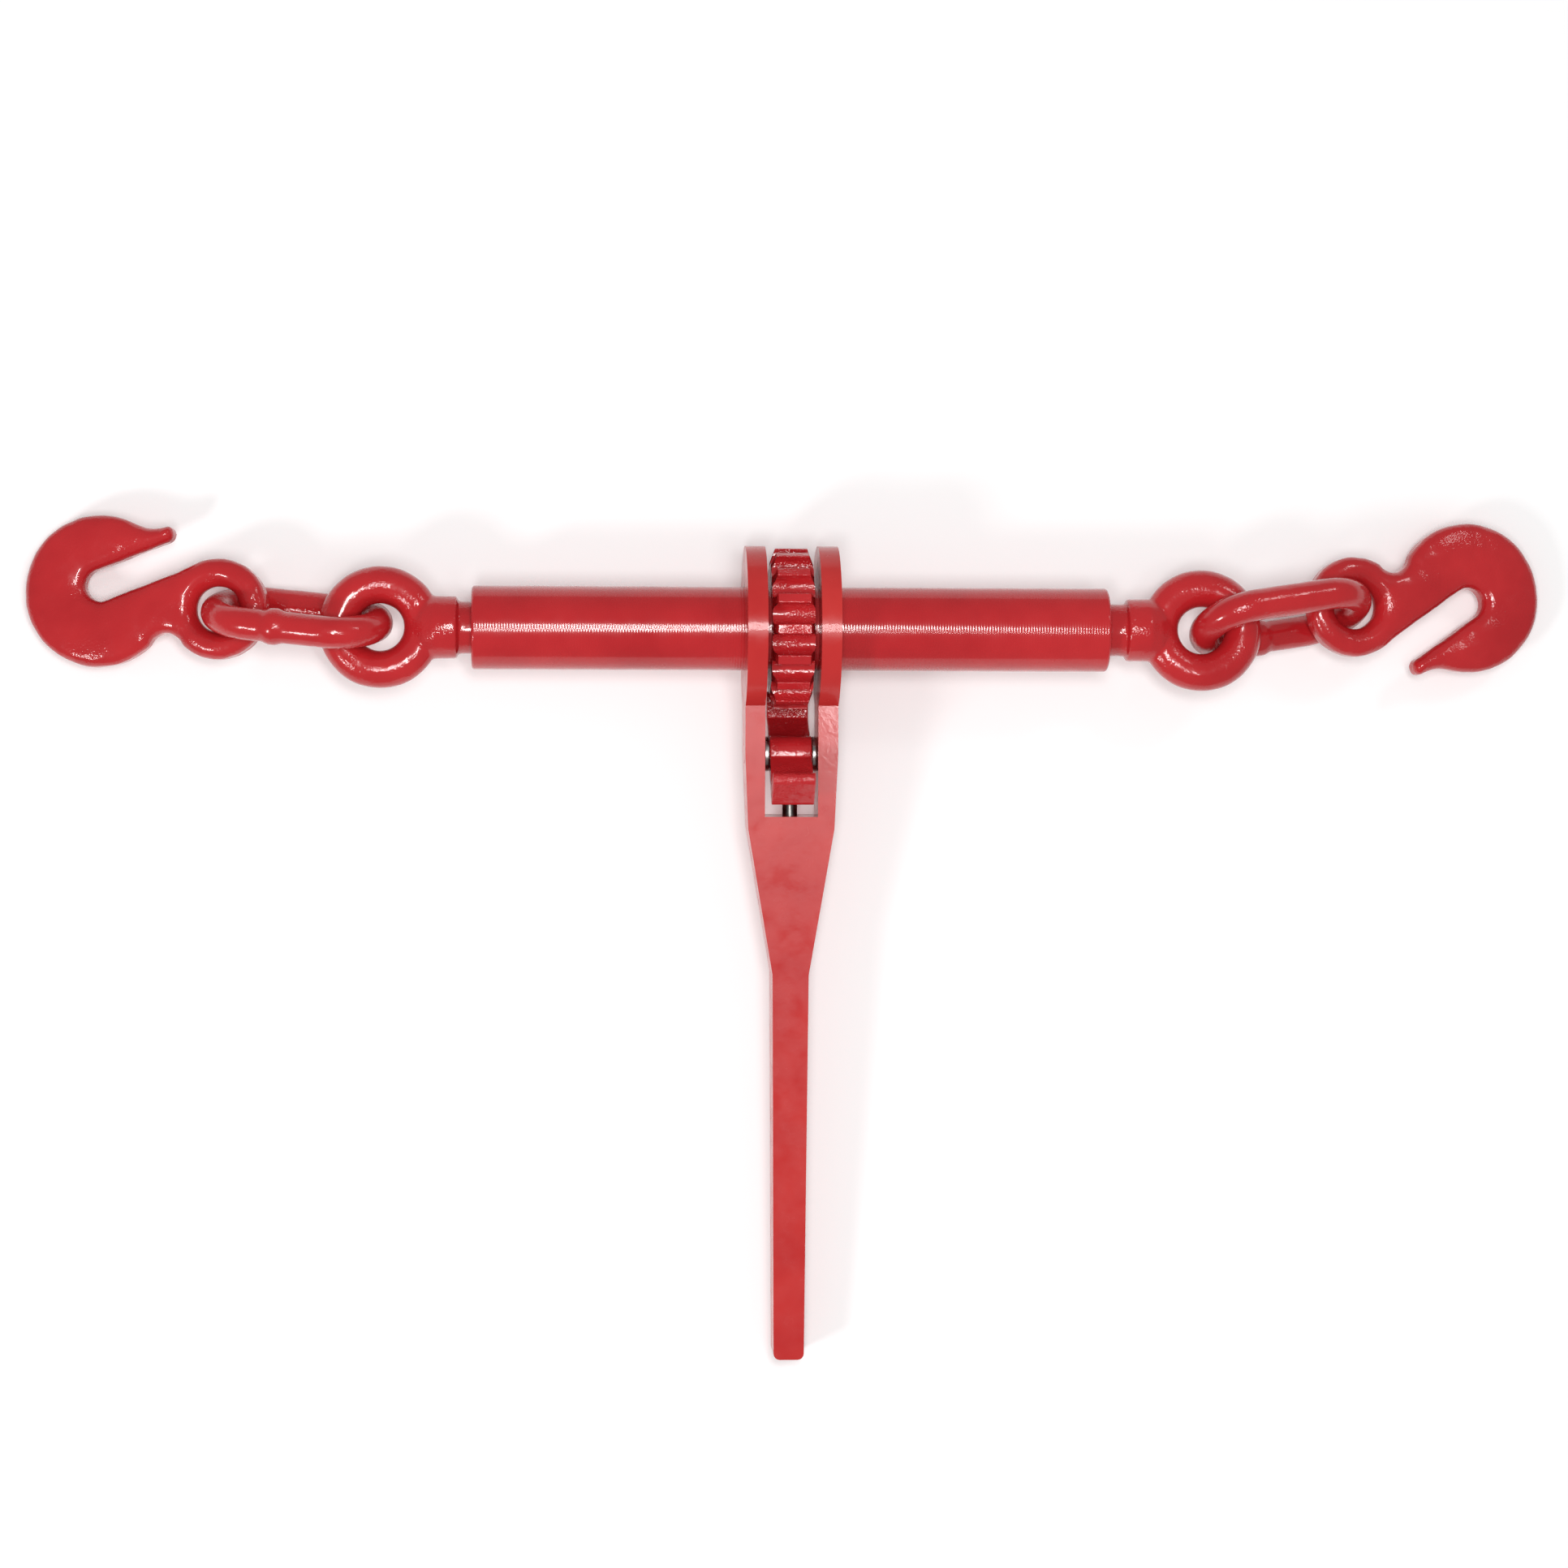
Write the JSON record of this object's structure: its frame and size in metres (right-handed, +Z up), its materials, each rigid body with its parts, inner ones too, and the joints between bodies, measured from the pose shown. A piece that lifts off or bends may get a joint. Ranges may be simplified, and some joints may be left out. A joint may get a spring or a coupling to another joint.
{
  "type": "ratchet chain load binder",
  "caption": "Chain load binder: a ratchet handle turns a threaded barrel that draws in two eye screws, each with a link and a grab hook.",
  "frame": {"origin": "on the bench, under the middle of the whole object's box", "axes": "+X along the barrel towards the right-hand screw, the handle points to -Y, +Z up from the bench"},
  "size_m": [0.6146, 0.3378, 0.066],
  "materials": {
    "red_enamel": "thick glossy red enamel over forged and rolled steel",
    "plain_steel": "bare turned steel, lightly oiled",
    "spring_steel": "dark drawn spring wire",
    "greased_steel": "threaded steel with a film of grease"
  },
  "bodies": {
    "handle": {"handle": "red_enamel", "pawl_pin": "plain_steel", "left_pawl_washer": "plain_steel", "right_pawl_washer": "plain_steel", "plunger_spring": "spring_steel"},
    "barrel": {"barrel_tube": "red_enamel", "left_barrel_nut": "greased_steel", "right_barrel_nut": "greased_steel", "ratchet_gear": "red_enamel", "gear_lock_pins": "plain_steel"},
    "pawl": {"pawl": "red_enamel"},
    "plunger": {"plunger": "plain_steel"},
    "left_eye_screw": {"left_eye_screw": "red_enamel", "left_stop_pin": "plain_steel"},
    "right_eye_screw": {"right_eye_screw": "red_enamel", "right_stop_pin": "plain_steel"},
    "left_link": {"left_link": "red_enamel"},
    "right_link": {"right_link": "red_enamel"},
    "left_hook": {"left_hook": "red_enamel"},
    "right_hook": {"right_hook": "red_enamel"}
  },
  "joints": [
    {"name": "barrel_spin", "type": "hinge", "parent": "handle", "child": "barrel", "pos_m": [-0.00098, 0.12302, 0.033], "axis": [1, 0, 0], "range_deg": [0, 5760]},
    {"name": "left_screw_travel", "type": "slide", "parent": "handle", "child": "left_eye_screw", "axis": [-1, 0, 0], "range_m": [0, 0.1016]},
    {"name": "right_screw_travel", "type": "slide", "parent": "handle", "child": "right_eye_screw", "axis": [1, 0, 0], "range_m": [0, 0.1016]},
    {"name": "pawl_flip", "type": "hinge", "parent": "handle", "child": "pawl", "pos_m": [-0.00098, 0.07318, 0.02906], "axis": [1, 0, 0], "range_deg": [-75.97, 12.92]},
    {"name": "plunger_travel", "type": "slide", "parent": "handle", "child": "plunger", "axis": [0, -0.9969, -0.0788], "range_m": [0, 0.004], "stiffness_N_per_m": 1500, "deforming": ["plunger_spring"]},
    {"name": "left_link_swing", "type": "hinge", "parent": "left_eye_screw", "child": "left_link", "pos_m": [-0.18096, 0.12502, 0.033], "axis": [-0.0368, -0.942, -0.3337], "range_deg": [-75, 60]},
    {"name": "left_hook_swing", "type": "hinge", "parent": "left_link", "child": "left_hook", "pos_m": [-0.22872, 0.13072, 0.02219], "axis": [-0.1932, 0, 0.9812], "range_deg": [-60, 60]},
    {"name": "right_link_swing", "type": "hinge", "parent": "right_eye_screw", "child": "right_link", "pos_m": [0.18089, 0.12581, 0.033], "axis": [-0.2291, 0.9144, -0.3337], "range_deg": [-75, 60]},
    {"name": "right_hook_swing", "type": "hinge", "parent": "right_link", "child": "right_hook", "pos_m": [0.22833, 0.13375, 0.02219], "axis": [0.1932, 0, 0.9812], "range_deg": [-60, 60]}
  ],
  "couplings": [
    {"joint": "left_screw_travel", "follows": "barrel_spin", "m_per_rad": 0.0010106},
    {"joint": "right_screw_travel", "follows": "barrel_spin", "m_per_rad": 0.0010106}
  ]
}
